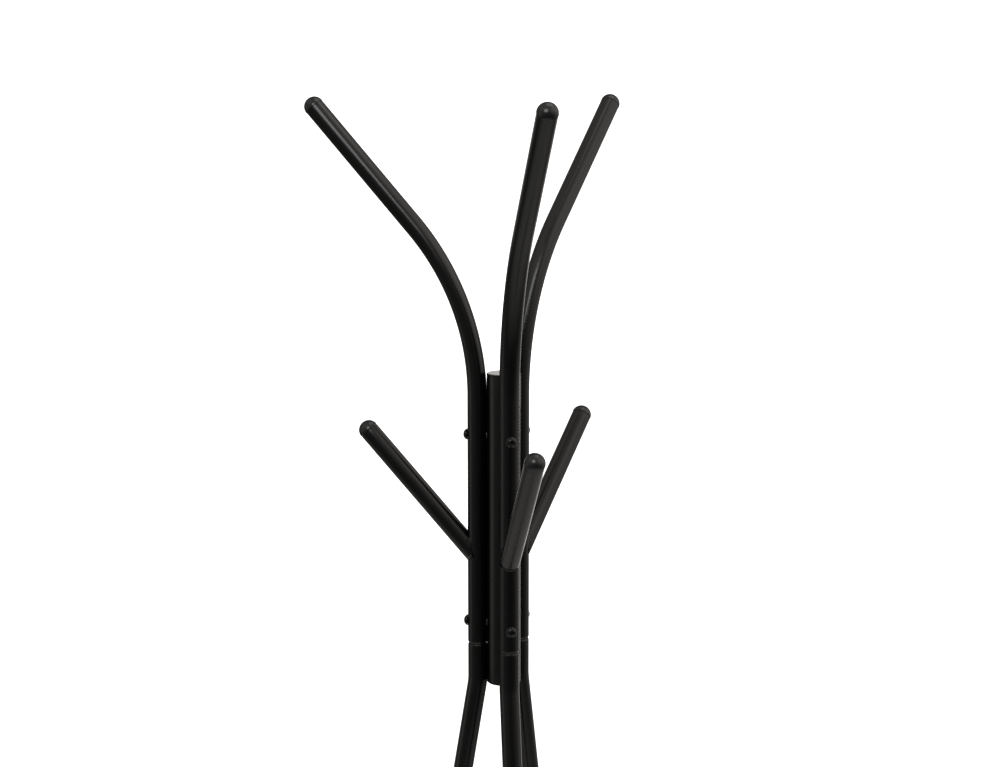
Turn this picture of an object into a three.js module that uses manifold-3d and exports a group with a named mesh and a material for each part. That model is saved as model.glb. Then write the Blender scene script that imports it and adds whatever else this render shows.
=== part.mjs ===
// A free-standing coat rack: three bent steel tubes bolted round a short centre post.
// Each bent tube is an arm above the post, carries a welded peg, and slips into a leg below.
// Millimetres, +Z up. The rack stands on z = 0 with its bounding box centred on the Z axis.

import * as THREE from "three";
import { mergeVertices } from "three/addons/utils/BufferGeometryUtils.js";
import Module from "manifold-3d";

const wasm = await Module();
wasm.setup();

// Tube stock
const TUBE_OD = 25;
const TUBE_WALL = 1.2;
const POST_OD = 42;
const POST_WALL = 1.5;
const GAP = 0.3; // between two pieces that touch

// Where each tube stands round the post, and which way its peg and leg point, in degrees from +X
const SIDES = {
  left: { tube: 180, peg: 180, leg: 180 },
  front: { tube: -66.5, peg: -66, leg: -64 },
  back: { tube: 66.5, peg: 66, leg: 64 },
};

// Heights above the floor
const SEAM_Z = 1000; // the leg's top edge
const POST_BOTTOM_Z = 951;
const POST_LENGTH = 397;
const LOWER_BOLT_Z = 1029;
const UPPER_BOLT_Z = 1269;
const PEG_ROOT_Z = 1112.3;

// The arm: the bent upper end of each tube, measured to the tip of its cap
const ARM_BEND_START_Z = 1315;
const ARM_BEND_RADIUS = 325;
const ARM_ANGLE = THREE.MathUtils.degToRad(41);
const ARM_STRAIGHT = 204;

// The peg, measured from the tube's axis to the tip of its cap
const PEG_ANGLE = THREE.MathUtils.degToRad(41.8);
const PEG_LENGTH = 223;

// The leg
const LEG_BEND_START_Z = 958;
const LEG_BEND_RADIUS = 80;
const LEG_ANGLE = THREE.MathUtils.degToRad(9.3);

// The swaged end of each upper tube, which slips into the leg
const SWAGE_SHOULDER = 6;
const SPIGOT_OD = 21.6;
const SPIGOT_WALL = 1;
const SPIGOT_DEPTH = 40;

// Caps, plugs and feet
const CAP_PROUD = 0.3; // a cap's dome stands this far outside its tube
const CAP_SKIRT = 14;
const CAP_SKIRT_WALL = 1.6;
const PLUG_FLANGE = 2;
const PLUG_SKIRT = 14;
const PLUG_SKIRT_WALL = 2;
const FOOT_WALL = 1.8;
const FOOT_HEIGHT = 30; // along the leg
const FOOT_SOLE = 8; // from the floor to the tube's end, along the leg

// M8 button head screws and their threaded inserts
const SCREW_D = 8;
const SCREW_REACH = 34;
const HEAD_D = 14;
const HEAD_HEIGHT = 4.4;
const SOCKET_ACROSS_FLATS = 5;
const SOCKET_DEPTH = 2.6;
const SCREW_HOLE_D = 9;
const INSERT_FLANGE_D = 13;
const INSERT_FLANGE = 0.8;
const INSERT_BODY_D = 11;
const INSERT_DEPTH = 6.5;
const INSERT_COLLAR_D = 13;
const INSERT_COLLAR = 1.4;

// Weld bead round the foot of each peg
const BEAD_RADIUS = 1.1;

// Roundness
const TUBE_SIDES = 16;
const POST_SIDES = 24;
const SCREW_SIDES = 12;
const BEND_STEPS = 12;
const DOME_STEPS = 5;
const BEAD_STEPS = 28;
const BEAD_SIDES = 6;

// Worked out from the dimensions above
const TUBE_R = TUBE_OD / 2;
const TUBE_INNER_R = TUBE_R - TUBE_WALL;
const POST_R = POST_OD / 2;
const POST_INNER_R = POST_R - POST_WALL;
const CAP_R = TUBE_R + CAP_PROUD;
const TUBE_AXIS = POST_R + GAP + TUBE_R; // from the post's axis to each tube's axis
const PLUG_R = TUBE_INNER_R * Math.cos(Math.PI / TUBE_SIDES) - GAP;
const POST_PLUG_R = POST_INNER_R * Math.cos(Math.PI / POST_SIDES) - GAP;
const POST_TUBE_BOTTOM = POST_BOTTOM_Z + PLUG_FLANGE + GAP;
const POST_TUBE_TOP = POST_BOTTOM_Z + POST_LENGTH - PLUG_FLANGE - GAP;
const Z = new THREE.Vector3(0, 0, 1);

// Materials
const blackPaint = new THREE.MeshStandardMaterial({ color: 0x17171a, roughness: 0.38, metalness: 0 });
const blackPlastic = new THREE.MeshStandardMaterial({ color: 0x26262a, roughness: 0.45, metalness: 0 });
const blackScrew = new THREE.MeshStandardMaterial({ color: 0x1d1d1f, roughness: 0.3, metalness: 0.8 });
const zincSteel = new THREE.MeshStandardMaterial({ color: 0xb8bcc0, roughness: 0.35, metalness: 1 });

// ---- Solids ----

// A closed geometry as a solid that can be joined and cut.
function solidOf(geometry) {
  const bare = geometry.clone();
  bare.deleteAttribute("normal");
  bare.deleteAttribute("uv");
  const merged = mergeVertices(bare, 1e-3);
  const mesh = new wasm.Mesh({
    numProp: 3,
    vertProperties: merged.attributes.position.array,
    triVerts: new Uint32Array(merged.index.array),
  });
  return new wasm.Manifold(mesh);
}

function geometryOf(solid) {
  const mesh = solid.getMesh();
  const geometry = new THREE.BufferGeometry();
  geometry.setAttribute("position", new THREE.BufferAttribute(mesh.vertProperties, mesh.numProp));
  geometry.setIndex(new THREE.BufferAttribute(mesh.triVerts, 1));
  geometry.computeVertexNormals();
  return geometry;
}

function cut(geometry, cutters) {
  let solid = solidOf(geometry);
  for (const cutter of cutters) {
    solid = solid.subtract(solidOf(cutter));
  }
  return geometryOf(solid);
}

// A profile of [radius, height] pairs turned about +Z.
function turned(profile, sides) {
  const points = profile.map(([radius, height]) => new THREE.Vector2(radius, height));
  return new THREE.LatheGeometry(points, sides).rotateX(Math.PI / 2);
}

// A plain round bar from one height to another on the Z axis.
function bar(radius, low, high, sides) {
  return turned([[0, low], [radius, low], [radius, high], [0, high]], sides);
}

// Turns a shape made along +Z to lie along +X.
function alongX(geometry) {
  return geometry.rotateY(Math.PI / 2);
}

// A quarter circle of [radius, height] pairs, from its equator up to the axis.
function quarterDome(radius, base) {
  const points = [];
  for (let i = 0; i <= DOME_STEPS; i++) {
    const angle = (i / DOME_STEPS) * (Math.PI / 2);
    points.push([i < DOME_STEPS ? radius * Math.cos(angle) : 0, base + radius * Math.sin(angle)]);
  }
  return points;
}

// ---- Bent tubes ----

// A path that is sampled only at its own stations, so a straight run takes one step.
class StationPath extends THREE.Curve {
  constructor(stations) {
    super();
    this.stations = stations;
  }

  station(t) {
    return this.stations[Math.round(t * (this.stations.length - 1))];
  }

  getPointAt(t) {
    return this.station(t).point.clone();
  }

  getTangentAt(t) {
    return this.station(t).tangent.clone();
  }
}

// Stations in the XZ plane: straight from start, round a bend towards +X, then straight again.
// up is 1 for a path that climbs and -1 for one that goes down.
function bentStations(start, up, firstRun, bendRadius, angle, lastRun, bendSteps) {
  const at = (x, z, lean) => ({
    point: new THREE.Vector3(start.x + x, 0, start.z + up * z),
    tangent: new THREE.Vector3(Math.sin(lean), 0, up * Math.cos(lean)),
  });
  const stations = [at(0, 0, 0)];
  for (let i = 0; i <= bendSteps; i++) {
    const lean = (i / bendSteps) * angle;
    const x = bendRadius * (1 - Math.cos(lean));
    stations.push(at(x, firstRun + bendRadius * Math.sin(lean), lean));
  }
  const end = stations.at(-1);
  stations.push({ point: end.point.clone().addScaledVector(end.tangent, lastRun), tangent: end.tangent });
  return stations;
}

// A round tube swept along the stations, open at both ends.
function sweptTube(stations) {
  const section = new THREE.Shape().absarc(0, 0, TUBE_R, 0, 2 * Math.PI);
  section.holes.push(new THREE.Path().absarc(0, 0, TUBE_INNER_R, 0, 2 * Math.PI));
  return new THREE.ExtrudeGeometry(section, {
    extrudePath: new StationPath(stations),
    steps: stations.length - 1,
    curveSegments: TUBE_SIDES / 2, // three.js doubles it on an arc
  });
}

// ---- Pieces, each made with +X pointing outwards from the post's axis ----

const tubeStart = new THREE.Vector3(TUBE_AXIS, 0, SEAM_Z + SWAGE_SHOULDER);
const armStations = bentStations(
  tubeStart,
  1,
  ARM_BEND_START_Z - tubeStart.z,
  ARM_BEND_RADIUS,
  ARM_ANGLE,
  ARM_STRAIGHT - CAP_R - GAP,
  BEND_STEPS,
);
const legTop = new THREE.Vector3(TUBE_AXIS, 0, SEAM_Z);
const legBendEndZ = LEG_BEND_START_Z - LEG_BEND_RADIUS * Math.sin(LEG_ANGLE);
const legStraight = legBendEndZ / Math.cos(LEG_ANGLE); // down to the floor
const legStations = bentStations(
  legTop,
  -1,
  SEAM_Z - LEG_BEND_START_Z,
  LEG_BEND_RADIUS,
  LEG_ANGLE,
  legStraight - FOOT_SOLE,
  4,
);
const footX = TUBE_AXIS + LEG_BEND_RADIUS * (1 - Math.cos(LEG_ANGLE)) + legStraight * Math.sin(LEG_ANGLE);

// The narrowed lower end of an upper tube: a shoulder, then a spigot that enters the leg.
// Its top lies within the tube's wall, so that the two join into one piece.
function swagedEnd() {
  const spigotR = SPIGOT_OD / 2;
  const spigotInnerR = spigotR - SPIGOT_WALL;
  const wallOuter = TUBE_R - 0.4;
  const wallInner = TUBE_INNER_R + 0.35;
  const shoulderTop = SWAGE_SHOULDER + 0.5;
  const shoulderBottom = SWAGE_SHOULDER / 3;
  const embedded = SWAGE_SHOULDER + 3;
  const profile = [
    [spigotInnerR, -SPIGOT_DEPTH],
    [spigotR, -SPIGOT_DEPTH],
    [spigotR, shoulderBottom],
    [wallOuter, shoulderTop],
    [wallOuter, embedded],
    [wallInner, embedded],
    [wallInner, shoulderTop],
    [spigotInnerR, shoulderBottom],
    [spigotInnerR, -SPIGOT_DEPTH],
  ];
  return turned(profile, TUBE_SIDES).translate(TUBE_AXIS, 0, SEAM_Z);
}

function upperTube() {
  const holes = [LOWER_BOLT_Z, UPPER_BOLT_Z].map((z) =>
    alongX(bar(SCREW_HOLE_D / 2, TUBE_AXIS - TUBE_OD, TUBE_AXIS + TUBE_OD, SCREW_SIDES)).translate(0, 0, z),
  );
  const joined = solidOf(sweptTube(armStations)).add(solidOf(swagedEnd()));
  return cut(geometryOf(joined), holes);
}

function legTube() {
  return sweptTube(legStations);
}

// The peg's tube runs along +Z here, from the upper tube's axis outwards.
function pegTube() {
  const end = PEG_LENGTH - CAP_R - GAP;
  const profile = [
    [TUBE_INNER_R, 0],
    [TUBE_R, 0],
    [TUBE_R, end],
    [TUBE_INNER_R, end],
    [TUBE_INNER_R, 0],
  ];
  const reach = 3 * TUBE_OD;
  const mainTube = bar(TUBE_R + GAP, -reach, reach, POST_SIDES).rotateY(-PEG_ANGLE);
  return cut(turned(profile, TUBE_SIDES), [mainTube]);
}

// A thin round bead that follows the corner between the upper tube and the peg, as a closed ring.
function weldBead() {
  const fromTube = TUBE_R + GAP + BEAD_RADIUS + 0.4;
  const fromPeg = TUBE_R + GAP + BEAD_RADIUS;
  const along = new THREE.Vector3(Math.sin(PEG_ANGLE), 0, Math.cos(PEG_ANGLE));
  const below = new THREE.Vector3(Math.cos(PEG_ANGLE), 0, -Math.sin(PEG_ANGLE));
  const beside = new THREE.Vector3(0, 1, 0);
  const corner = (turn) => {
    const across = fromPeg * Math.sin(turn);
    const out = fromPeg * Math.cos(turn);
    const distance = (Math.sqrt(fromTube ** 2 - across ** 2) - out * below.x) / along.x;
    return new THREE.Vector3()
      .addScaledVector(along, distance)
      .addScaledVector(below, out)
      .addScaledVector(beside, across);
  };
  const positions = [];
  const faces = [];
  for (let i = 0; i < BEAD_STEPS; i++) {
    const turn = (i / BEAD_STEPS) * 2 * Math.PI;
    const centre = corner(turn);
    const tangent = corner(turn + 0.02).sub(corner(turn - 0.02)).normalize();
    const outward = new THREE.Vector3()
      .addScaledVector(below, Math.cos(turn))
      .addScaledVector(beside, Math.sin(turn));
    const side = new THREE.Vector3().crossVectors(tangent, outward).normalize();
    const normal = new THREE.Vector3().crossVectors(side, tangent);
    for (let j = 0; j < BEAD_SIDES; j++) {
      const angle = (j / BEAD_SIDES) * 2 * Math.PI;
      const vertex = centre
        .clone()
        .addScaledVector(normal, BEAD_RADIUS * Math.cos(angle))
        .addScaledVector(side, BEAD_RADIUS * Math.sin(angle));
      positions.push(vertex.x, vertex.y, vertex.z);
      const nextI = (i + 1) % BEAD_STEPS;
      const nextJ = (j + 1) % BEAD_SIDES;
      const a = i * BEAD_SIDES + j;
      const b = nextI * BEAD_SIDES + j;
      const c = nextI * BEAD_SIDES + nextJ;
      const d = i * BEAD_SIDES + nextJ;
      faces.push(a, c, b, a, d, c);
    }
  }
  const ring = new THREE.BufferGeometry();
  ring.setAttribute("position", new THREE.Float32BufferAttribute(positions, 3));
  ring.setIndex(faces);
  ring.computeVertexNormals();
  return ring;
}

// A domed plug with a hollow skirt. Its dome starts at z = 0 and its skirt hangs below.
function domedCap() {
  const skirtInner = PLUG_R - CAP_SKIRT_WALL;
  return turned(
    [
      [0, -GAP],
      [skirtInner, -GAP],
      [skirtInner, -CAP_SKIRT],
      [PLUG_R, -CAP_SKIRT],
      [PLUG_R, 0],
      ...quarterDome(CAP_R, 0),
    ],
    TUBE_SIDES,
  );
}

// The post's end plug: a flange over the tube's end with a hollow skirt inside the tube.
// The flange's outer edge is rounded by easing, and the skirt hangs below z = 0.
function postPlug(easing) {
  const skirtInner = POST_PLUG_R - PLUG_SKIRT_WALL;
  return turned(
    [
      [0, 0],
      [skirtInner, 0],
      [skirtInner, -PLUG_SKIRT],
      [POST_PLUG_R, -PLUG_SKIRT],
      [POST_PLUG_R, 0],
      [POST_R, 0],
      [POST_R, PLUG_FLANGE - easing],
      [POST_R - 0.3 * easing, PLUG_FLANGE - 0.3 * easing],
      [POST_R - easing, PLUG_FLANGE],
      [0, PLUG_FLANGE],
    ],
    POST_SIDES,
  );
}

// The post's tube, with a hole and a flat seat for each threaded insert.
function postTube() {
  const profile = [
    [POST_INNER_R, POST_TUBE_BOTTOM],
    [POST_R, POST_TUBE_BOTTOM],
    [POST_R, POST_TUBE_TOP],
    [POST_INNER_R, POST_TUBE_TOP],
    [POST_INNER_R, POST_TUBE_BOTTOM],
  ];
  const seat = POST_R - INSERT_FLANGE - GAP;
  const cutters = [];
  for (const { tube: azimuth } of Object.values(SIDES)) {
    for (const z of [LOWER_BOLT_Z, UPPER_BOLT_Z]) {
      const hole = alongX(bar(INSERT_BODY_D / 2 + GAP, 0, POST_OD, SCREW_SIDES));
      const spotFace = alongX(bar(INSERT_FLANGE_D / 2 + GAP, seat, POST_OD, SCREW_SIDES));
      for (const cutter of [hole, spotFace]) {
        cutters.push(cutter.rotateZ(THREE.MathUtils.degToRad(azimuth)).translate(0, 0, z));
      }
    }
  }
  return cut(turned(profile, POST_SIDES), cutters);
}

// A button head screw along +X. Its head starts at x = 0 and its shank runs inwards.
function buttonScrew() {
  const shankR = SCREW_D / 2;
  const headR = HEAD_D / 2;
  const topR = 0.55 * headR;
  const profile = [
    [0, -SCREW_REACH],
    [shankR - 0.6, -SCREW_REACH],
    [shankR, -SCREW_REACH + 1],
    [shankR, 0],
    [headR, 0],
    [headR, 0.2 * HEAD_HEIGHT],
    [0.93 * headR, 0.5 * HEAD_HEIGHT],
    [0.78 * headR, 0.8 * HEAD_HEIGHT],
    [topR, HEAD_HEIGHT],
    [0, HEAD_HEIGHT],
  ];
  const socketR = SOCKET_ACROSS_FLATS / Math.sqrt(3);
  const socket = bar(socketR, HEAD_HEIGHT - SOCKET_DEPTH, HEAD_HEIGHT + 1, 6);
  return alongX(cut(turned(profile, SCREW_SIDES), [socket]));
}

// A threaded insert along +X. Its flange's outer face is at x = 0 and its body runs inwards.
function threadedInsert() {
  const boreR = SCREW_D / 2 + GAP + 0.1;
  const bodyR = INSERT_BODY_D / 2;
  const collarR = INSERT_COLLAR_D / 2;
  const flangeR = INSERT_FLANGE_D / 2;
  const collarOuter = -INSERT_DEPTH + INSERT_COLLAR;
  const profile = [
    [boreR, -INSERT_DEPTH],
    [collarR - 0.4, -INSERT_DEPTH],
    [collarR, collarOuter - 0.4],
    [bodyR, collarOuter],
    [bodyR, -INSERT_FLANGE],
    [flangeR, -INSERT_FLANGE],
    [flangeR, 0],
    [boreR, 0],
    [boreR, -INSERT_DEPTH],
  ];
  return alongX(turned(profile, SCREW_SIDES));
}

// A moulded foot that the leg's end stands in: a cup along +Z from below the floor.
// The floor cuts it flat once it leans with the leg, about the point where the leg's axis lands.
function footCup() {
  const innerR = (TUBE_R + GAP) / Math.cos(Math.PI / TUBE_SIDES);
  const outerR = innerR + FOOT_WALL;
  const profile = [
    [0, -FOOT_SOLE],
    [outerR, -FOOT_SOLE],
    [outerR, FOOT_HEIGHT - 1.2],
    [outerR - 1, FOOT_HEIGHT],
    [innerR, FOOT_HEIGHT],
    [innerR, FOOT_SOLE - GAP],
    [0, FOOT_SOLE - GAP],
  ];
  const floor = new THREE.BoxGeometry(4 * TUBE_OD, 4 * TUBE_OD, TUBE_OD).translate(0, 0, -TUBE_OD / 2);
  return cut(turned(profile, TUBE_SIDES).rotateY(-LEG_ANGLE), [floor]);
}

// ---- Assembly ----

const rack = new THREE.Group();

function add(parent, name, geometry, material) {
  const mesh = new THREE.Mesh(geometry, material);
  mesh.name = name;
  parent.add(mesh);
  return mesh;
}

function addPost() {
  add(rack, "centre_post", postTube(), blackPaint);
  const top = add(rack, "post_top_plug", postPlug(0.6), blackPlastic);
  top.position.z = POST_TUBE_TOP + GAP;
  const bottom = add(rack, "post_bottom_plug", postPlug(1.6), blackPlastic);
  bottom.position.z = POST_TUBE_BOTTOM - GAP;
  bottom.rotation.x = Math.PI;
}

// One side of the rack: a tube, its peg, its leg and what fastens them.
function addSide(side, azimuths) {
  const group = new THREE.Group();
  group.rotation.z = THREE.MathUtils.degToRad(azimuths.tube);
  rack.add(group);

  add(group, `upper_tube_${side}`, upperTube(), blackPaint);
  const armEnd = armStations.at(-1);
  const armCap = add(group, `arm_cap_${side}`, domedCap(), blackPlastic);
  armCap.position.copy(armEnd.point).addScaledVector(armEnd.tangent, GAP);
  armCap.quaternion.setFromUnitVectors(Z, armEnd.tangent);

  const peg = new THREE.Group();
  peg.position.set(TUBE_AXIS, 0, PEG_ROOT_Z);
  peg.rotation.z = THREE.MathUtils.degToRad(azimuths.peg - azimuths.tube);
  group.add(peg);
  add(peg, `peg_weld_${side}`, weldBead(), blackPaint);
  const pegTilted = new THREE.Group();
  pegTilted.rotation.y = PEG_ANGLE;
  peg.add(pegTilted);
  add(pegTilted, `peg_tube_${side}`, pegTube(), blackPaint);
  add(pegTilted, `peg_cap_${side}`, domedCap(), blackPlastic).position.z = PEG_LENGTH - CAP_R;

  const leg = new THREE.Group();
  leg.position.x = TUBE_AXIS;
  leg.rotation.z = THREE.MathUtils.degToRad(azimuths.leg - azimuths.tube);
  group.add(leg);
  add(leg, `leg_tube_${side}`, legTube(), blackPaint).position.x = -TUBE_AXIS;
  add(leg, `foot_${side}`, footCup(), blackPlastic).position.x = footX - TUBE_AXIS;

  for (const [level, z] of [["upper", UPPER_BOLT_Z], ["lower", LOWER_BOLT_Z]]) {
    const screw = add(group, `${level}_screw_${side}`, buttonScrew(), blackScrew);
    screw.position.set(TUBE_AXIS + TUBE_R + GAP, 0, z);
    const insert = add(group, `${level}_insert_${side}`, threadedInsert(), zincSteel);
    insert.position.set(POST_R, 0, z);
  }
}

addPost();
for (const [side, azimuths] of Object.entries(SIDES)) {
  addSide(side, azimuths);
}

// Stand the rack on z = 0, with its bounding box centred on the Z axis.
const coatRack = new THREE.Group();
coatRack.add(rack);
const box = new THREE.Box3().setFromObject(coatRack, true);
const centre = box.getCenter(new THREE.Vector3());
rack.position.set(-centre.x, -centre.y, -box.min.z);

export default coatRack;
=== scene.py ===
"""A standing coat rack of black powder-coated tube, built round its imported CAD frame. Metres, +Z up."""
import math

import bmesh
import bpy
from mathutils import Matrix, Vector, noise


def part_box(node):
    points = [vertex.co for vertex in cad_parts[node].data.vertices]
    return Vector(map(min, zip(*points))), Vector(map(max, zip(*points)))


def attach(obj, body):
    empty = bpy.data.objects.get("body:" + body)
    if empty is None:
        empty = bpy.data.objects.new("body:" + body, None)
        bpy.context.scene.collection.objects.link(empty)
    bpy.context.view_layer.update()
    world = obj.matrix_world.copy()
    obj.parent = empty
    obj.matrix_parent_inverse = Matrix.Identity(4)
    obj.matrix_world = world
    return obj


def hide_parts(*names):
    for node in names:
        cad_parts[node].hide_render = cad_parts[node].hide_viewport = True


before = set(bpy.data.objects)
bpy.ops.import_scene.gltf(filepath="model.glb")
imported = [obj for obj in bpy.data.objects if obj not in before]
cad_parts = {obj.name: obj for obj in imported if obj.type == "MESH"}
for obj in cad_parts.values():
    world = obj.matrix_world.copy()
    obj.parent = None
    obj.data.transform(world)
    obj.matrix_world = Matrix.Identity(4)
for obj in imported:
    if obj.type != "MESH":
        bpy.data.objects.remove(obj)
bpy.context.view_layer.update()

MM = 0.001

# ---- Places and sizes, from the frame where it has them ----

# Azimuths of each tube, its peg and its leg, degrees from +X
SIDES = {"left": (180.0, 180.0, 180.0), "front": (-66.5, -66.0, -64.0), "back": (66.5, 66.0, 64.0)}

post_low, post_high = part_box("centre_post")
top_plug_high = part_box("post_top_plug")[1]
bottom_plug_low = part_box("post_bottom_plug")[0]
leg_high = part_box("leg_tube_left")[1]
tube_low, tube_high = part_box("upper_tube_left")

GAP = 0.3 * MM  # between CAD pieces that touch

POST_AXIS = Vector(((post_low.x + post_high.x) / 2, (post_low.y + post_high.y) / 2, 0))
POST_R = (post_high.y - post_low.y) / 2
POST_SKIN_R = POST_R + 0.28 * MM  # with its paint, the post all but touches the tubes
POST_WALL = 1.5 * MM
PLUG_FLANGE = 2 * MM

TUBE_R = (tube_high.y - tube_low.y) / 2
TUBE_AXIS = POST_AXIS.x - tube_high.x + TUBE_R  # from the post's axis to each tube's axis
TUBE_WALL = 1.2 * MM
SEAM_Z = leg_high.z
CAP_R = TUBE_R + GAP

ARM_BEND_START_Z = 1.315
ARM_BEND_RADIUS = 0.325
ARM_ANGLE = math.radians(41)
ARM_STRAIGHT = 0.204  # from the bend's end to the tip of the cap

PEG_ROOT_Z = 1.1123
PEG_ANGLE = math.radians(41.8)
PEG_LENGTH = 0.223  # from the tube's axis to the tip of the cap

LEG_BEND_START_Z = 0.958
LEG_BEND_RADIUS = 0.080
LEG_ANGLE = math.radians(9.3)
SOLE = 8 * MM  # from the floor to the leg's end, along the leg

SPIGOT_R = 10.8 * MM
SPIGOT_WALL = 1 * MM
SPIGOT_DEPTH = 40 * MM
NECK_R = 11.75 * MM
NECK_LENGTH = 1.8 * MM
SHOULDER_RISE = 2 * MM

TUBE_HOLE_R = 4.5 * MM
POST_HOLE_R = 5.6 * MM
INSERT_SEAT_R = 6.8 * MM
SCREW_LEVELS = {}
for level in ("upper", "lower"):
    low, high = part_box(f"{level}_screw_left")
    SCREW_LEVELS[level] = (low.z + high.z) / 2

TUBE_SIDES = 72
POST_SIDES = 96
SCREW_SIDES = 48
BEND_STEPS = 48


# ---- Mesh building ----

def side_matrix(azimuth):
    """Takes a shape made with +X pointing outwards from the post's axis to its place round the post."""
    return Matrix.Translation(POST_AXIS) @ Matrix.Rotation(math.radians(azimuth), 4, "Z")


def pivot_matrix(tube_azimuth, azimuth):
    """The same for a peg or a leg, which turns about its tube's own axis to its own azimuth."""
    out = Matrix.Translation((TUBE_AXIS, 0, 0))
    turn = Matrix.Rotation(math.radians(azimuth - tube_azimuth), 4, "Z")
    return side_matrix(tube_azimuth) @ out @ turn @ out.inverted()


def straight_axis(start, lean):
    """An axis that starts at (x, z) and leans from +Z towards +X: s -> (point, tangent)."""
    tangent = Vector((math.sin(lean), 0, math.cos(lean)))
    origin = Vector((start[0], 0, start[1]))
    return lambda s: (origin + s * tangent, tangent)


def bent_axis(start, up, first_run, radius, angle):
    """Straight, round a bend towards +X, then straight again. up is 1 to climb and -1 to go down."""
    bend_length = radius * angle

    def at(s):
        along = min(s, first_run)
        bend = min(max(s - first_run, 0), bend_length) / radius
        rest = max(s - first_run - bend_length, 0)
        x = radius * (1 - math.cos(bend)) + rest * math.sin(bend)
        z = along + radius * math.sin(bend) + rest * math.cos(bend)
        point = Vector((start[0] + x, 0, start[1] + up * z))
        return point, Vector((math.sin(bend), 0, up * math.cos(bend)))

    return at


def turned(axis, profile, sides, ripple=None):
    """A closed skin round an axis. profile is a loop of (s, radius), or starts and ends at radius 0.

    ripple(s, angle) is a share added to the radius; angle is 0 towards the axis's normal.
    """
    mesh = bmesh.new()
    side = Vector((0, 1, 0))
    rings = []
    for s, radius in profile:
        point, tangent = axis(s)
        normal = side.cross(tangent)
        if radius == 0:
            rings.append([mesh.verts.new(point)])
            continue
        ring = []
        for i in range(sides):
            angle = 2 * math.pi * i / sides
            grown = radius * (1 + (ripple(s, angle) if ripple else 0))
            ring.append(mesh.verts.new(point + grown * (math.cos(angle) * normal + math.sin(angle) * side)))
        rings.append(ring)
    looped = len(rings[0]) > 1
    after = rings[1:] + rings[:1] if looped else rings[1:]
    for first, second in zip(rings, after):
        for i in range(sides):
            j = (i + 1) % sides
            if len(first) == 1:
                corners = (first[0], second[i], second[j])
            elif len(second) == 1:
                corners = (first[i], second[0], first[j])
            else:
                corners = (first[i], second[i], second[j], first[j])
            mesh.faces.new(corners)
    return mesh


def steps(low, high, count):
    """count + 1 evenly spaced values from low to high."""
    return [low + (high - low) * i / count for i in range(count + 1)]


def arc(centre, radius, from_degrees, to_degrees, count=6):
    """Points of an arc in (s, radius) space. 0 degrees points away from the axis, 90 degrees along it."""
    points = []
    for degrees in steps(from_degrees, to_degrees, count):
        angle = math.radians(degrees)
        points.append((centre[0] + radius * math.sin(angle), centre[1] + radius * math.cos(angle)))
    return points


def finish_mesh(name, mesh, matrix, sharp_degrees=35):
    """Turns a bmesh into a smooth-shaded object in the scene, with its sharper edges kept sharp."""
    bmesh.ops.recalc_face_normals(mesh, faces=mesh.faces)
    mesh.transform(matrix)
    data = bpy.data.meshes.new(name)
    mesh.to_mesh(data)
    mesh.free()
    data.polygons.foreach_set("use_smooth", [True] * len(data.polygons))
    data.set_sharp_from_angle(angle=math.radians(sharp_degrees))
    piece = bpy.data.objects.new(name, data)
    bpy.context.scene.collection.objects.link(piece)
    return piece


def bore(piece, cutters):
    """Cuts each closed mesh out of a piece, and keeps its shading."""
    made = []
    for i, (mesh, matrix) in enumerate(cutters):
        cutter = finish_mesh(f"cutter_{i}", mesh, matrix)
        modifier = piece.modifiers.new(f"cut_{i}", "BOOLEAN")
        modifier.operation = "DIFFERENCE"
        modifier.solver = "EXACT"
        modifier.object = cutter
        made.append(cutter)
    bpy.context.view_layer.update()
    cut = bpy.data.meshes.new_from_object(piece.evaluated_get(bpy.context.evaluated_depsgraph_get()))
    piece.modifiers.clear()
    old = piece.data
    piece.data = cut
    cut.name = piece.name
    bpy.data.meshes.remove(old)
    for cutter in made:
        bpy.data.objects.remove(cutter)


def place(piece, material, slot, *nodes):
    """Gives a piece its material, hangs it under the root body, and hides the CAD nodes it stands for."""
    piece.data.materials.clear()
    piece.data.materials.append(material)
    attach(piece, "root")
    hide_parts(*nodes)


# ---- Materials ----

NOISE_LOW, NOISE_HIGH = 0.3, 0.7  # most of a noise texture's values lie between these


class Nodes:
    """A small helper that adds and links shader nodes."""

    def __init__(self, name):
        self.material = bpy.data.materials.new(name)
        self.material.use_nodes = True
        self.tree = self.material.node_tree
        self.shader = self.tree.nodes["Principled BSDF"]
        coordinates = self.tree.nodes.new("ShaderNodeTexCoord")
        self.place = coordinates.outputs["Object"]

    def noise(self, scale, detail, roughness=0.5):
        node = self.tree.nodes.new("ShaderNodeTexNoise")
        node.inputs["Scale"].default_value = scale
        node.inputs["Detail"].default_value = detail
        node.inputs["Roughness"].default_value = roughness
        self.tree.links.new(self.place, node.inputs["Vector"])
        return node.outputs["Fac"]

    def remap(self, value, low, high, to_low, to_high):
        node = self.tree.nodes.new("ShaderNodeMapRange")
        for name, number in zip(("From Min", "From Max", "To Min", "To Max"), (low, high, to_low, to_high)):
            node.inputs[name].default_value = number
        self.tree.links.new(value, node.inputs["Value"])
        return node.outputs["Result"]

    def blend(self, factor, first, second):
        node = self.tree.nodes.new("ShaderNodeMix")
        node.data_type = "RGBA"
        node.inputs["A"].default_value = (*first, 1)
        node.inputs["B"].default_value = (*second, 1)
        self.tree.links.new(factor, node.inputs["Factor"])
        return node.outputs["Result"]

    def bump(self, height, strength, distance, under=None):
        node = self.tree.nodes.new("ShaderNodeBump")
        node.inputs["Strength"].default_value = strength
        node.inputs["Distance"].default_value = distance
        self.tree.links.new(height, node.inputs["Height"])
        if under:
            self.tree.links.new(under, node.inputs["Normal"])
        return node.outputs["Normal"]

    def set(self, **values):
        for name, value in values.items():
            self.shader.inputs[name.replace("_", " ")].default_value = value

    def link(self, output, name):
        self.tree.links.new(output, self.shader.inputs[name])


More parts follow.
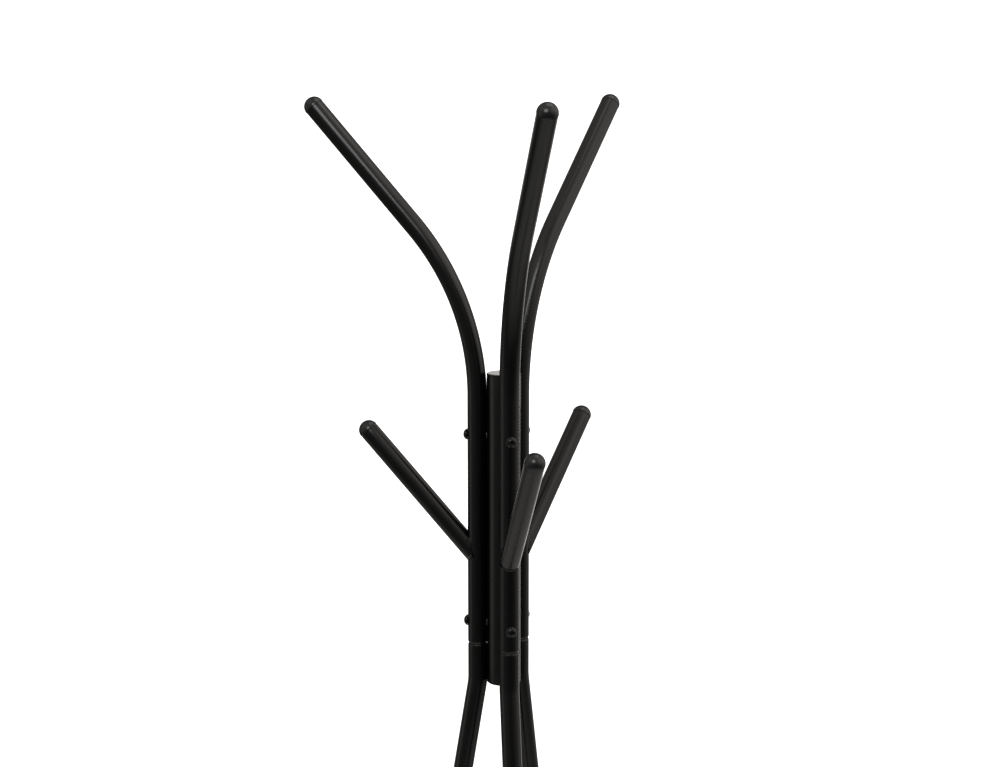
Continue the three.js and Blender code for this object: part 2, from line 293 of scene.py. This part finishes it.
def finish(name, metallic, ior, tones, tone_noise, roughness, roughness_noise, bumps):
    """A surface whose colour and roughness drift between two values each, with layers of fine bumps.

    A noise is (scale, detail) or (scale, detail, roughness). A layer of bumps is (noise, strength, depth).
    """
    nodes = Nodes(name)
    nodes.set(Metallic=metallic, IOR=ior)
    nodes.link(nodes.blend(nodes.noise(*tone_noise), *tones), "Base Color")
    nodes.link(nodes.remap(nodes.noise(*roughness_noise), NOISE_LOW, NOISE_HIGH, *roughness), "Roughness")
    normal = None
    for bump_noise, strength, depth in bumps:
        normal = nodes.bump(nodes.noise(*bump_noise), strength, depth, normal)
    nodes.link(normal, "Normal")
    return nodes.material


def black_paint():
    """Satin black powder coat: a fine orange peel, and a sheen that varies a little along the tube."""
    return finish(
        "black_paint",
        metallic=0.0,
        ior=1.5,
        tones=((0.0009, 0.0009, 0.0010), (0.0016, 0.0015, 0.0016)),
        tone_noise=(18, 3),
        roughness=(0.19, 0.25),
        roughness_noise=(35, 4, 0.6),
        bumps=[((420, 2), 0.12, 0.4 * MM), ((1500, 1), 0.10, 0.1 * MM)],
    )


def black_plastic():
    """Moulded black plastic, a little lighter than the paint."""
    return finish(
        "black_plastic",
        metallic=0.0,
        ior=1.49,
        tones=((0.009, 0.009, 0.0095), (0.014, 0.014, 0.0145)),
        tone_noise=(60, 3),
        roughness=(0.18, 0.25),
        roughness_noise=(160, 3),
        bumps=[((2200, 2), 0.08, 0.2 * MM)],
    )


def black_screw():
    """Black coated steel screws, with the coating a little thinner in places."""
    return finish(
        "black_screw",
        metallic=0.05,
        ior=1.36,
        tones=((0.004, 0.004, 0.004), (0.016, 0.016, 0.017)),
        tone_noise=(500, 4, 0.65),
        roughness=(0.13, 0.20),
        roughness_noise=(900, 3),
        bumps=[((3000, 2), 0.10, 0.1 * MM)],
    )


def zinc_steel():
    """Zinc-plated inserts, dulled, with a faint grain."""
    return finish(
        "zinc_steel",
        metallic=1.0,
        ior=1.5,
        tones=((0.10, 0.095, 0.085), (0.17, 0.16, 0.145)),
        tone_noise=(700, 4),
        roughness=(0.22, 0.38),
        roughness_noise=(1500, 3),
        bumps=[((2500, 2), 0.10, 0.1 * MM)],
    )


PAINT = black_paint()
PLASTIC = black_plastic()
SCREW = black_screw()
ZINC = zinc_steel()


# ---- Tubes ----

def wall_profile(start, end, radius, wall, stations, lip):
    """A tube's wall as a loop of (s, radius), with both ends' outer edges rounded by lip."""
    inner = radius - wall
    low = arc((start + lip, radius - lip), lip, -90, 0)
    high = arc((end - lip, radius - lip), lip, 0, 90)
    middle = [(s, radius) for s in stations if start + lip < s < end - lip]
    back = [(s, inner) for s in reversed(stations) if start < s < end]
    return low + middle + high + [(end, inner)] + back + [(start, inner)]


def rings_round(holes, reach):
    """Stations that keep the faces a hole cuts close to it."""
    return [hole + offset for hole in holes for offset in (-reach, reach)]


def swaged_profile(length, stations):
    """The upper tube's wall: a spigot, a neck, a soft shoulder, then the full tube. s starts at the seam."""
    inner = TUBE_R - TUBE_WALL
    spigot_inner = SPIGOT_R - SPIGOT_WALL
    ease_depth, ease_rise = 0.3 * MM, 0.5 * MM
    spigot_top, neck_start = 0.1 * MM, 0.3 * MM
    # Each point is a share of the shoulder's height and a share of its step outwards
    shoulder = [(0.0, 0.0), (0.16, 0.25), (0.34, 0.60), (0.50, 0.84), (0.66, 0.95), (0.82, 0.99), (1.0, 1.0)]
    outer = [(-SPIGOT_DEPTH, SPIGOT_R - ease_depth), (-SPIGOT_DEPTH + ease_rise, SPIGOT_R)]
    outer += [(spigot_top, SPIGOT_R), (neck_start, NECK_R)]
    climb = []
    for share, rise in shoulder:
        s = NECK_LENGTH + share * SHOULDER_RISE
        outer.append((s, NECK_R + rise * (TUBE_R - NECK_R)))
        climb.append((s, spigot_inner + rise * (inner - spigot_inner)))
    full = [s for s in stations if s > NECK_LENGTH + SHOULDER_RISE + 1 * MM]
    loop = outer + [(s, TUBE_R) for s in full] + [(length, TUBE_R), (length, inner)]
    loop += [(s, inner) for s in reversed(full)] + climb[::-1]
    return loop + [(-SPIGOT_DEPTH, spigot_inner)]


def hole_cutter(radius, start, end, z):
    """A round bar along +X from start to end at height z, as a cutter."""
    axis = straight_axis((0, 0), math.pi / 2)
    mesh = turned(axis, [(start, 0), (start, radius), (end, radius), (end, 0)], SCREW_SIDES)
    return mesh, Matrix.Translation((0, 0, z))


def upper_tube(side, azimuth):
    """A tube with its arm. Gives where the arm's cap sits and how far it leans, in the side's own frame."""
    first_run = ARM_BEND_START_Z - SEAM_Z
    bend_length = ARM_BEND_RADIUS * ARM_ANGLE
    length = first_run + bend_length + ARM_STRAIGHT - CAP_R - GAP
    levels = list(SCREW_LEVELS.values())
    first_ring = 10 * MM
    wider, narrower = 0.025, 0.065  # shares of the radius, half way round the bend
    stations = steps(first_ring, first_run, 12) + rings_round([z - SEAM_Z for z in levels], reach=5 * MM)
    stations += steps(first_run, first_run + bend_length, BEND_STEPS)[1:]
    stations += steps(first_run + bend_length, length, 8)[1:-1]
    axis = bent_axis((TUBE_AXIS, SEAM_Z), 1, first_run, ARM_BEND_RADIUS, ARM_ANGLE)

    def flattened(s, angle):
        """A bent tube is a little narrower in the plane of its bend and wider across it."""
        share = min(max((s - first_run) / bend_length, 0), 1)
        return math.sin(math.pi * share) * (wider - (wider + narrower) * math.cos(angle) ** 2)

    mesh = turned(axis, swaged_profile(length, sorted(stations)), TUBE_SIDES, flattened)
    matrix = side_matrix(azimuth)
    piece = finish_mesh(f"arm_{side}", mesh, matrix)
    reach = TUBE_R + 3 * MM
    cutters = [hole_cutter(TUBE_HOLE_R, TUBE_AXIS - reach, TUBE_AXIS + reach, z) for z in levels]
    bore(piece, [(cutter, matrix @ at) for cutter, at in cutters])
    place(piece, PAINT, "black_paint", f"upper_tube_{side}")
    end, tangent = axis(length + GAP)
    return end, math.atan2(tangent.x, tangent.z)


def leg_profile(length, stations):
    """The leg's wall, its top end drawn in towards the spigot over a soft round."""
    step_in = 0.05 * MM  # the leg is a hair smaller than the upper tube
    outer = TUBE_R - step_in
    inner = TUBE_R - TUBE_WALL
    drawn = 2.9 * MM
    roll_degrees = 25
    roll_r = drawn / math.sin(math.radians(roll_degrees))
    rim = outer - roll_r * (1 - math.cos(math.radians(roll_degrees)))
    edge_depth, edge_rise = 0.08 * MM, 0.06 * MM
    foot_lip = 0.4 * MM
    clear = 1 * MM
    profile = arc((drawn + edge_rise, outer - roll_r), roll_r, -roll_degrees, 0, 10)
    profile += [(s, outer) for s in stations if drawn + clear < s < length - clear]
    profile += arc((length - foot_lip, outer - foot_lip), foot_lip, 0, 90, 4)
    profile.append((length, inner))
    profile += [(s, inner) for s in reversed(stations) if clear < s < length - clear]
    return profile + [(0, inner), (0, rim - edge_depth)]


def leg_tube(side, matrix):
    """A leg, down from the seam. Gives the x, in the leg's own frame, where its axis meets the floor."""
    first_run = SEAM_Z - LEG_BEND_START_Z
    bend_length = LEG_BEND_RADIUS * LEG_ANGLE
    bend_end_z = LEG_BEND_START_Z - LEG_BEND_RADIUS * math.sin(LEG_ANGLE)
    to_floor = bend_end_z / math.cos(LEG_ANGLE)
    length = first_run + bend_length + to_floor - SOLE
    stations = steps(0, first_run, 4) + steps(first_run, first_run + bend_length, 12)[1:]
    stations += steps(first_run + bend_length, length, 24)[1:]
    axis = bent_axis((TUBE_AXIS, SEAM_Z), -1, first_run, LEG_BEND_RADIUS, LEG_ANGLE)
    mesh = turned(axis, leg_profile(length, stations), TUBE_SIDES)
    piece = finish_mesh(f"leg_{side}", mesh, matrix)
    place(piece, PAINT, "black_paint", f"leg_tube_{side}")
    return axis(length + SOLE)[0].x


# ---- Pegs ----

def coped_peg(side, matrix):
    """The peg's tube, its inner end cut to the round of the upper tube. Gives where its cap sits."""
    root = (TUBE_AXIS, PEG_ROOT_Z)
    axis = straight_axis(root, PEG_ANGLE)
    end = PEG_LENGTH - CAP_R - GAP
    profile = wall_profile(0, end, TUBE_R, TUBE_WALL, steps(0, end, 24), lip=0.2 * MM)
    piece = finish_mesh(f"peg_{side}", turned(axis, profile, TUBE_SIDES), matrix)
    bar_reach = 3 * TUBE_R
    cope_gap = 0.1 * MM
    bar_r = TUBE_R + cope_gap
    bar = [(-bar_reach, 0), (-bar_reach, bar_r), (bar_reach, bar_r), (bar_reach, 0)]
    bore(piece, [(turned(straight_axis(root, 0), bar, 2 * TUBE_SIDES), matrix)])
    place(piece, PAINT, "black_paint", f"peg_tube_{side}")
    return axis(PEG_LENGTH - CAP_R)[0]


def weld_fillet(side, matrix):
    """A painted fillet weld in the corner between the upper tube and the peg, thickest on its flanks."""
    along = Vector((math.sin(PEG_ANGLE), 0, math.cos(PEG_ANGLE)))
    below = Vector((math.cos(PEG_ANGLE), 0, -math.sin(PEG_ANGLE)))
    beside = Vector((0, 1, 0))
    root_depth, toe_depth = 0.6 * MM, 0.25 * MM  # how far it sinks into both tubes, so that it leaves no gap
    thin, thick = 1.3 * MM, 5.7 * MM  # from the corner to each toe, below the peg and on its flanks
    thin_bulge, thick_bulge = 0.10, 0.36  # how far the face swells, as a share of that
    lump_degrees, lump_spread = 112, 21  # where round the peg the weld is thickest, and how gradually
    ripples, size_ripple, bulge_ripple = 38, 0.03, 0.12
    wobble, wobble_scale = 0.06, 200
    count, face_steps = 240, 10
    nearby = 0.01  # radians, to find the corner's direction

    def on_peg(turn):
        """A point on the peg's skin, from the peg's axis. turn is 0 at the peg's underside."""
        return TUBE_R * (math.cos(turn) * below + math.sin(turn) * beside)

    def corner(turn):
        """Where the peg's skin meets the upper tube's."""
        out = on_peg(turn)
        return out + (math.sqrt(TUBE_R ** 2 - out.y ** 2) - out.x) / along.x * along

    def on_tube(point, radius):
        """The point at that height that is radius from the upper tube's axis."""
        level = Vector((point.x, point.y, 0)).normalized() * radius
        return Vector((level.x, level.y, point.z))

    mesh = bmesh.new()
    rings = []
    for i in range(count):
        turn = 2 * math.pi * i / count
        at = corner(turn)
        tangent = (corner(turn + nearby) - corner(turn - nearby)).normalized()
        outward = Vector((at.x, at.y, 0)).normalized()
        away = tangent.cross(outward).normalized()
        if away.dot(along) > 0:
            away = -away
        from_below = math.degrees(math.acos(math.cos(turn)))
        lump = math.exp(-(((from_below - lump_degrees) / lump_spread) ** 2))
        ripple = math.sin(ripples * turn)
        size = thin + (thick - thin) * lump
        size *= 1 + size_ripple * ripple + wobble * noise.noise(at * wobble_scale)
        bulge = (thin_bulge + (thick_bulge - thin_bulge) * lump) * size * (1 + bulge_ripple * ripple)
        off_peg = on_peg(turn).normalized()
        peg_toe = at + size * along - toe_depth * off_peg
        tube_toe = on_tube(at + size * away, TUBE_R - toe_depth)
        swell = ((peg_toe + tube_toe) / 2 - at).normalized()
        ring = [at - root_depth * (outward + off_peg)]
        for share in steps(0, 1, face_steps):
            ring.append(tube_toe.lerp(peg_toe, share) + math.sin(math.pi * share) * bulge * swell)
        rings.append([mesh.verts.new(point) for point in ring])
    for ring, after in zip(rings, rings[1:] + rings[:1]):
        for j in range(len(ring)):
            k = (j + 1) % len(ring)
            mesh.faces.new((ring[j], after[j], after[k], ring[k]))
    piece = finish_mesh(f"weld_{side}", mesh, matrix @ Matrix.Translation((TUBE_AXIS, 0, PEG_ROOT_Z)))
    place(piece, PAINT, "black_paint", f"peg_weld_{side}")


# ---- Caps, plugs and feet ----

def skirt_profile(skirt, wall, web):
    """A moulded plug's hollow skirt, up to s = 0. web is how far the plug's solid end reaches into it."""
    depth = 14 * MM
    ease_depth, ease_rise = 0.4 * MM, 0.6 * MM
    inner = skirt - wall
    profile = [(-web, 0), (-web, inner), (-depth, inner), (-depth, skirt - ease_depth)]
    return profile + [(-depth + ease_rise, skirt), (0, skirt)]


def domed_cap(name, node, matrix, centre, lean):
    """A moulded plug: a dome with a soft rim on a hollow skirt that sits inside the tube."""
    rim = 0.35 * MM
    profile = skirt_profile(TUBE_R - TUBE_WALL - GAP, wall=1.6 * MM, web=1 * MM)
    profile += arc((rim, CAP_R - rim), rim, -90, 0, 4)
    squash = (CAP_R - rim) / CAP_R
    profile += [(rim + (s - rim) * squash, radius) for s, radius in arc((rim, 0), CAP_R, 0, 90, 28)[1:-1]]
    profile.append((CAP_R, 0))
    axis = straight_axis((centre.x, centre.z), lean)
    piece = finish_mesh(name, turned(axis, profile, TUBE_SIDES), matrix)
    place(piece, PLASTIC, "black_plastic", node)


def post_tube():
    """The centre post, with a hole and a seat for each insert."""
    low, high = post_low.z, post_high.z
    levels = list(SCREW_LEVELS.values())
    stations = sorted(steps(low, high, 16) + rings_round(levels, reach=7 * MM))
    profile = wall_profile(low, high, POST_SKIN_R, POST_WALL, stations, lip=0.25 * MM)
    mesh = turned(straight_axis((0, 0), 0), profile, POST_SIDES)
    piece = finish_mesh("post", mesh, Matrix.Translation(POST_AXIS))
    past = 5 * MM
    seat_depth = 1.1 * MM
    cutters = []
    for azimuth, _, _ in SIDES.values():
        for z in levels:
            hole = hole_cutter(POST_HOLE_R, past, POST_R + past, z)
            seat = hole_cutter(INSERT_SEAT_R, POST_R - seat_depth, POST_R + past, z)
            cutters += [(cutter, side_matrix(azimuth) @ at) for cutter, at in (hole, seat)]
    bore(piece, cutters)
    place(piece, PAINT, "black_paint", "centre_post")


def post_plug(name, node, base, up, easing):
    """A flanged end plug. up is 1 for the top and -1 for the bottom, and easing rounds its outer edge."""
    edge = 0.1 * MM
    profile = skirt_profile(POST_R - POST_WALL - GAP, wall=2 * MM, web=0)
    profile += [(0, POST_SKIN_R - edge), (edge, POST_SKIN_R)]
    profile += arc((PLUG_FLANGE - easing, POST_SKIN_R - easing), easing, 0, 90, 10)
    profile += [(PLUG_FLANGE, share * (POST_SKIN_R - easing)) for share in (0.8, 0.5, 0.2, 0)]
    axis = straight_axis((0, base), 0 if up > 0 else math.pi)
    piece = finish_mesh(name, turned(axis, profile, POST_SIDES), Matrix.Translation(POST_AXIS))
    place(piece, PLASTIC, "black_plastic", node)


def foot(side, matrix, foot_x):
    """A moulded cup under the leg's end, with a flat sole on the floor and softened edges."""
    clearance, wall = 0.15 * MM, 1.9 * MM
    inner = TUBE_R + clearance
    outer = inner + wall
    height = 30 * MM
    lip = 1 * MM
    sole_round = 1.2 * MM
    on_floor = 0.001 * MM
    profile = [(-SOLE, 0), (-SOLE, outer)]
    profile += [(s, outer) for s in steps(-SOLE, height - lip, 8)[1:]]
    profile += arc((height - lip, outer - lip), lip, 0, 90, 6)[1:]
    profile += [(height, inner), (SOLE - GAP, inner), (SOLE - GAP, 0)]
    mesh = turned(straight_axis((0, 0), -LEG_ANGLE), profile, TUBE_SIDES)
    cut = bmesh.ops.bisect_plane(
        mesh,
        geom=mesh.verts[:] + mesh.edges[:] + mesh.faces[:],
        plane_co=(0, 0, 0),
        plane_no=(0, 0, -1),
        clear_outer=True,
    )
    rim = [e for e in cut["geom_cut"] if isinstance(e, bmesh.types.BMEdge)]
    bmesh.ops.contextual_create(mesh, geom=rim)
    sole_edges = [e for e in mesh.edges if all(abs(v.co.z) < on_floor for v in e.verts)]
    bmesh.ops.bevel(mesh, geom=sole_edges, offset=sole_round, segments=4, profile=0.5, affect="EDGES")
    piece = finish_mesh(f"sole_{side}", mesh, matrix @ Matrix.Translation((foot_x, 0, 0)))
    place(piece, PLASTIC, "black_plastic", f"foot_{side}")


# ---- Screws and inserts ----

def button_screw(level, side, azimuth, z):
    """A button head screw with a hex socket, its head on the outside of the tube."""
    head_r, head_h, shank_r = 7 * MM, 4.4 * MM, 4 * MM
    reach = 34 * MM
    tip_depth, tip_rise = 0.7 * MM, 0.8 * MM
    fillet = 0.2 * MM
    edge, edge_h = 0.25 * MM, 0.9 * MM
    crown_base = 0.2 * MM
    # Each point is a share of the way from the crown's base to the top and a share of the head's radius
    crown = [(0.20, 0.985), (0.36, 0.94), (0.52, 0.87), (0.68, 0.78)]
    crown += [(0.82, 0.68), (0.93, 0.585), (0.985, 0.52), (1, 0.47)]
    axis = straight_axis((TUBE_AXIS + TUBE_R + GAP, z), math.pi / 2)
    matrix = side_matrix(azimuth)
    profile = [(-reach, 0), (-reach, shank_r - tip_depth), (-reach + tip_rise, shank_r), (-fillet, shank_r)]
    profile += [(0, shank_r + fillet), (0, head_r - edge)]
    profile += arc((edge, head_r - edge), edge, -90, 0, 4)
    profile.append((edge_h, head_r))
    profile += [(up * head_h + crown_base * (1 - up), out * head_r) for up, out in crown]
    profile.append((head_h, 0))
    piece = finish_mesh(f"{level}_bolt_{side}", turned(axis, profile, SCREW_SIDES), matrix)

    across_flats = 5 * MM
    corner_r = across_flats / math.sqrt(3)
    socket_low, socket_high = head_h - 2.6 * MM, head_h + 1 * MM
    socket = [(socket_low, 0), (socket_low, corner_r), (socket_high, corner_r), (socket_high, 0)]
    funnel_low, funnel_high = head_h - 0.35 * MM, head_h + 0.05 * MM
    funnel_in, funnel_out = corner_r - 0.2 * MM, corner_r + 0.35 * MM
    funnel = [(funnel_low, 0), (funnel_low, funnel_in), (funnel_high, funnel_out), (funnel_high, 0)]
    bore(piece, [(turned(axis, socket, 6), matrix), (turned(axis, funnel, SCREW_SIDES), matrix)])
    place(piece, SCREW, "black_screw", f"{level}_screw_{side}")


def threaded_insert(level, side, azimuth, z):
    """A plated insert in the post, its flange just showing in the gap between the post and the tube."""
    bore_r, body, flange, collar = 4.4 * MM, 5.5 * MM, 6.5 * MM, 6.5 * MM
    thick, depth = 0.8 * MM, 6.5 * MM
    chamfer, edge = 0.5 * MM, 0.2 * MM
    collar_length, body_start = 1.2 * MM, 1.5 * MM
    profile = [(-depth, bore_r), (-depth, collar - chamfer), (-depth + chamfer, collar)]
    profile += [(-depth + collar_length, collar), (-depth + body_start, body)]
    profile += [(-thick, body), (-thick, flange)]
    profile += arc((-edge, flange - edge), edge, 0, 90, 3) + [(0, bore_r)]
    mesh = turned(straight_axis((POST_R, z), math.pi / 2), profile, SCREW_SIDES)
    piece = finish_mesh(f"{level}_nut_{side}", mesh, side_matrix(azimuth))
    place(piece, ZINC, "zinc_steel", f"{level}_insert_{side}")


# ---- The rack ----

post_tube()
post_plug("top_plug", "post_top_plug", top_plug_high.z - PLUG_FLANGE, up=1, easing=0.6 * MM)
post_plug("bottom_plug", "post_bottom_plug", bottom_plug_low.z + PLUG_FLANGE, up=-1, easing=1.6 * MM)
for side, (azimuth, peg_azimuth, leg_azimuth) in SIDES.items():
    arm_end, arm_lean = upper_tube(side, azimuth)
    domed_cap(f"arm_tip_{side}", f"arm_cap_{side}", side_matrix(azimuth), arm_end, arm_lean)
    peg_matrix = pivot_matrix(azimuth, peg_azimuth)
    peg_end = coped_peg(side, peg_matrix)
    domed_cap(f"peg_tip_{side}", f"peg_cap_{side}", peg_matrix, peg_end, PEG_ANGLE)
    weld_fillet(side, peg_matrix)
    leg_matrix = pivot_matrix(azimuth, leg_azimuth)
    foot_x = leg_tube(side, leg_matrix)
    foot(side, leg_matrix, foot_x)
    for level, z in SCREW_LEVELS.items():
        button_screw(level, side, azimuth, z)
        threaded_insert(level, side, azimuth, z)


# ---- Floor, light and camera ----

VIEW_YAW = math.radians(12.11)  # the camera looks along +Y turned this far towards -X
VIEW_DOWN = math.radians(9.57)
VIEW_ROLL = math.radians(-0.03)
CAMERA_BACK = 2.37542  # level distance from the post's axis
CAMERA_LEFT = 0.0047
CAMERA_HEIGHT = 1.73493
SENSOR_WIDTH = 36
FOCAL_LENGTH = 1.9464  # in sensor widths
AHEAD = Vector((-math.sin(VIEW_YAW), math.cos(VIEW_YAW), 0))
RIGHT = Vector((math.cos(VIEW_YAW), math.sin(VIEW_YAW), 0))

FLOOR_R = 2.3
FLOOR_FADE_START = 0.9
FLOOR_TONES = ((0.72, 0.72, 0.72), (0.76, 0.76, 0.76))
FLOOR_GLOW = (0.42, 0.42, 0.42)

LIT_CENTRE = POST_AXIS + Vector((0, 0, 1.3))  # the point that both softboxes face
SOFTBOX_DISTANCE = 2.2

# The soft room round the rack: azimuth (0 towards the camera, + to its right), elevation, spread, strength
ROOM_GLOWS = {
    "left_wall": (-65, 46, 33, 0.68),
    "left_window": (-87, -10, 9, 0.45),
    "right_wall": (55, 33, 19, 0.92),
    "right_window": (104, 14, 21, 0.95),
    "right_high": (98, 48, 20, 0.50),
    "under": (-172, -76, 33, 0.07),
    "backdrop": (180, -9, 19, 1.9),
}
ROOM_BASE = 0.012
ROOM_TINT = (1.0, 0.965, 0.925)


def towards(azimuth, elevation):
    """The direction from the rack to a light, in degrees as in ROOM_GLOWS."""
    turn, rise = math.radians(azimuth), math.radians(elevation)
    level = math.sin(turn) * RIGHT - math.cos(turn) * AHEAD
    return math.cos(rise) * level + math.sin(rise) * Vector((0, 0, 1))


def pale_floor():
    """A pale floor that fades out before its edge, so that it has no horizon.

    It glows a little for the camera alone, to meet the white round it without lighting the rack from below.
    """
    mesh = bmesh.new()
    bmesh.ops.create_circle(mesh, cap_ends=True, radius=FLOOR_R, segments=96)
    mesh.transform(Matrix.Translation(POST_AXIS))
    data = bpy.data.meshes.new("floor")
    mesh.to_mesh(data)
    mesh.free()
    floor = bpy.data.objects.new("floor", data)
    bpy.context.scene.collection.objects.link(floor)

    nodes = Nodes("pale_floor")
    tree = nodes.tree
    nodes.set(Roughness=0.9, Emission_Color=(*FLOOR_GLOW, 1))
    nodes.link(nodes.blend(nodes.noise(3, 3), *FLOOR_TONES), "Base Color")
    path = tree.nodes.new("ShaderNodeLightPath")
    nodes.link(path.outputs["Is Camera Ray"], "Emission Strength")
    distance = tree.nodes.new("ShaderNodeVectorMath")
    distance.operation = "DISTANCE"
    distance.inputs[1].default_value = POST_AXIS
    tree.links.new(nodes.place, distance.inputs[0])
    fade = nodes.remap(distance.outputs["Value"], FLOOR_FADE_START, FLOOR_R, 0.0, 1.0)
    clear = tree.nodes.new("ShaderNodeBsdfTransparent")
    mix = tree.nodes.new("ShaderNodeMixShader")
    tree.links.new(fade, mix.inputs["Fac"])
    tree.links.new(nodes.shader.outputs[0], mix.inputs[1])
    tree.links.new(clear.outputs[0], mix.inputs[2])
    tree.links.new(mix.outputs[0], tree.nodes["Material Output"].inputs["Surface"])
    data.materials.append(nodes.material)


def softbox(name, azimuth, elevation, width, radiance):
    """A square area light that faces the rack, hidden from the camera."""
    direction = towards(azimuth, elevation)
    data = bpy.data.lights.new(name, "AREA")
    data.shape = "SQUARE"
    data.size = width
    data.energy = radiance * math.pi * width ** 2
    light = bpy.data.objects.new(name, data)
    light.location = LIT_CENTRE + SOFTBOX_DISTANCE * direction
    light.rotation_mode = "QUATERNION"
    light.rotation_quaternion = direction.to_track_quat("Z", "Y")
    light.visible_camera = False
    bpy.context.scene.collection.objects.link(light)


def studio_world():
    """White behind the rack for the camera, and a dim room with soft glows for everything else."""
    world = bpy.data.worlds.new("studio")
    world.use_nodes = True
    tree = world.node_tree
    tree.nodes.clear()

    def calculate(operation, *values):
        """A math node, each value a number or another node's output."""
        node = tree.nodes.new("ShaderNodeMath")
        node.operation = operation
        for socket, value in zip(node.inputs, values):
            if isinstance(value, (int, float)):
                socket.default_value = value
            else:
                tree.links.new(value, socket)
        return node.outputs[0]

    coordinates = tree.nodes.new("ShaderNodeTexCoord")
    level = ROOM_BASE
    for azimuth, elevation, spread, strength in ROOM_GLOWS.values():
        dot = tree.nodes.new("ShaderNodeVectorMath")
        dot.operation = "DOT_PRODUCT"
        dot.inputs[1].default_value = towards(azimuth, elevation)
        tree.links.new(coordinates.outputs["Generated"], dot.inputs[0])
        sharpness = 1 / math.radians(spread) ** 2
        fall = calculate("MULTIPLY_ADD", dot.outputs["Value"], sharpness, -sharpness)
        level = calculate("MULTIPLY_ADD", calculate("EXPONENT", fall), strength, level)
    path = tree.nodes.new("ShaderNodeLightPath")
    level = calculate("MAXIMUM", level, path.outputs["Is Camera Ray"])
    tint = tree.nodes.new("ShaderNodeMix")
    tint.data_type = "RGBA"
    tint.inputs["A"].default_value = (*ROOM_TINT, 1)
    tint.inputs["B"].default_value = (1, 1, 1, 1)
    tree.links.new(path.outputs["Is Camera Ray"], tint.inputs["Factor"])
    background = tree.nodes.new("ShaderNodeBackground")
    tree.links.new(tint.outputs["Result"], background.inputs["Color"])
    tree.links.new(level, background.inputs["Strength"])
    output = tree.nodes.new("ShaderNodeOutputWorld")
    tree.links.new(background.outputs[0], output.inputs["Surface"])
    bpy.context.scene.world = world


def add_camera():
    """The camera: just above the arms' tips, looking slightly down."""
    data = bpy.data.cameras.new("camera")
    data.sensor_width = SENSOR_WIDTH
    data.lens = SENSOR_WIDTH * FOCAL_LENGTH
    camera = bpy.data.objects.new("camera", data)
    stand = POST_AXIS - CAMERA_BACK * AHEAD - CAMERA_LEFT * RIGHT
    camera.matrix_world = (
        Matrix.Translation((stand.x, stand.y, CAMERA_HEIGHT))
        @ Matrix.Rotation(VIEW_YAW, 4, "Z")
        @ Matrix.Rotation(math.pi / 2 - VIEW_DOWN, 4, "X")
        @ Matrix.Rotation(VIEW_ROLL, 4, "Z")
    )
    bpy.context.scene.collection.objects.link(camera)
    bpy.context.scene.camera = camera


pale_floor()
studio_world()
softbox("key", azimuth=-12, elevation=35, width=0.95, radiance=4.2)
softbox("overhead", azimuth=104, elevation=77, width=1.40, radiance=1.15)
add_camera()
bpy.context.scene.view_settings.view_transform = "Standard"
